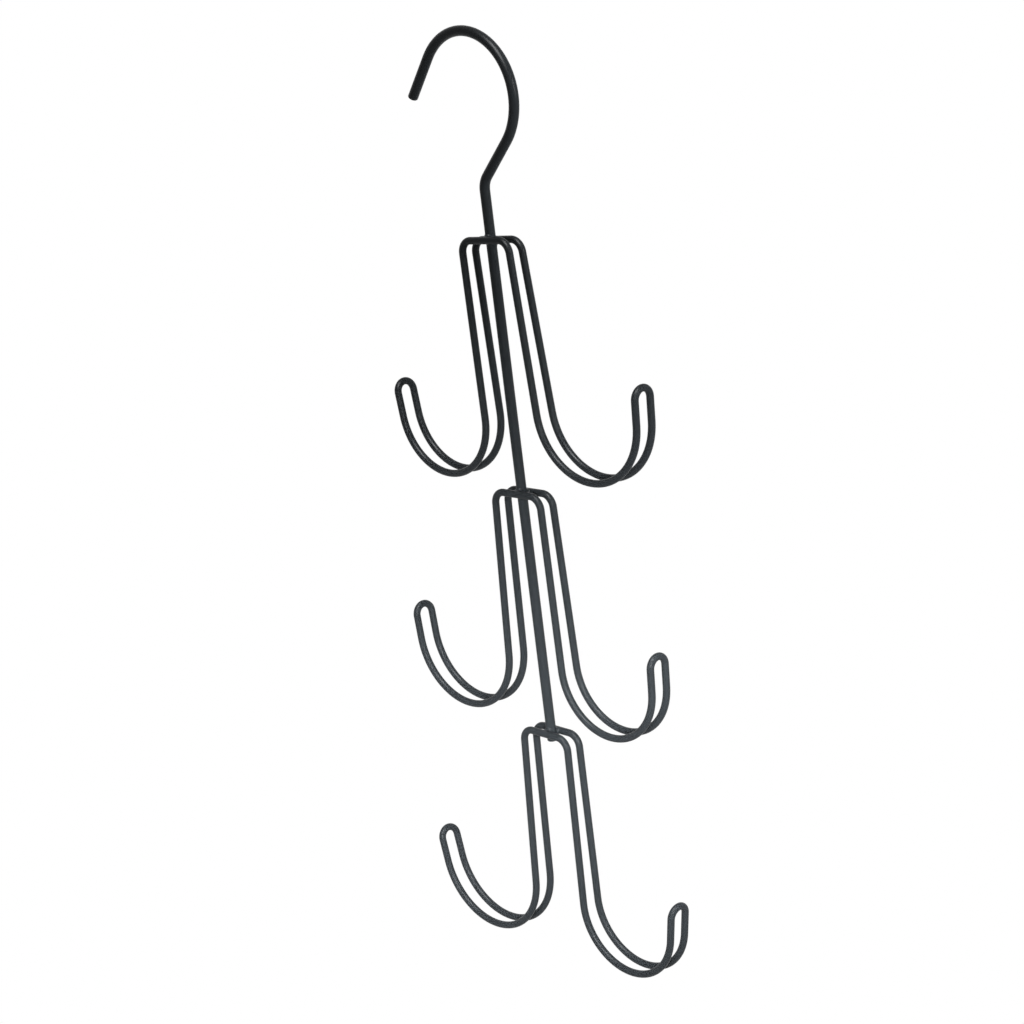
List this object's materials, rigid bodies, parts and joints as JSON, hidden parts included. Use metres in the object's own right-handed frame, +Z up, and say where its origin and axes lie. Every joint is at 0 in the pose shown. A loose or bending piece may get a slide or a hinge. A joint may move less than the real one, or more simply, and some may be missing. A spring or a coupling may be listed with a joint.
{
  "type": "handbag hanger",
  "caption": "Hanging wire rack: a bent rod with a closet-rail hook on top carries welded tiers of upturned twin-wire hooks on both sides for bag straps.",
  "frame": {"origin": "rail seat: the point on the inner side of the hook's crown, on the axis of the straight rod, where the hanger rests on a closet rail", "axes": "+Z up along the straight rod, +X along the tiers to the side that the hook bulges to (the hook's mouth opens to -X), +Y from the front strand of each tier to the back strand"},
  "size_m": [0.1982, 0.0152, 0.5161],
  "materials": {
    "black_coat": "satin"
  },
  "bodies": {
    "root": {"hook_rod": "black_coat", "upper_loop": "black_coat", "upper_front_weld": "black_coat", "upper_back_weld": "black_coat", "middle_loop": "black_coat", "middle_front_weld": "black_coat", "middle_back_weld": "black_coat", "lower_loop": "black_coat", "lower_front_weld": "black_coat", "lower_back_weld": "black_coat"}
  },
  "joints": []
}
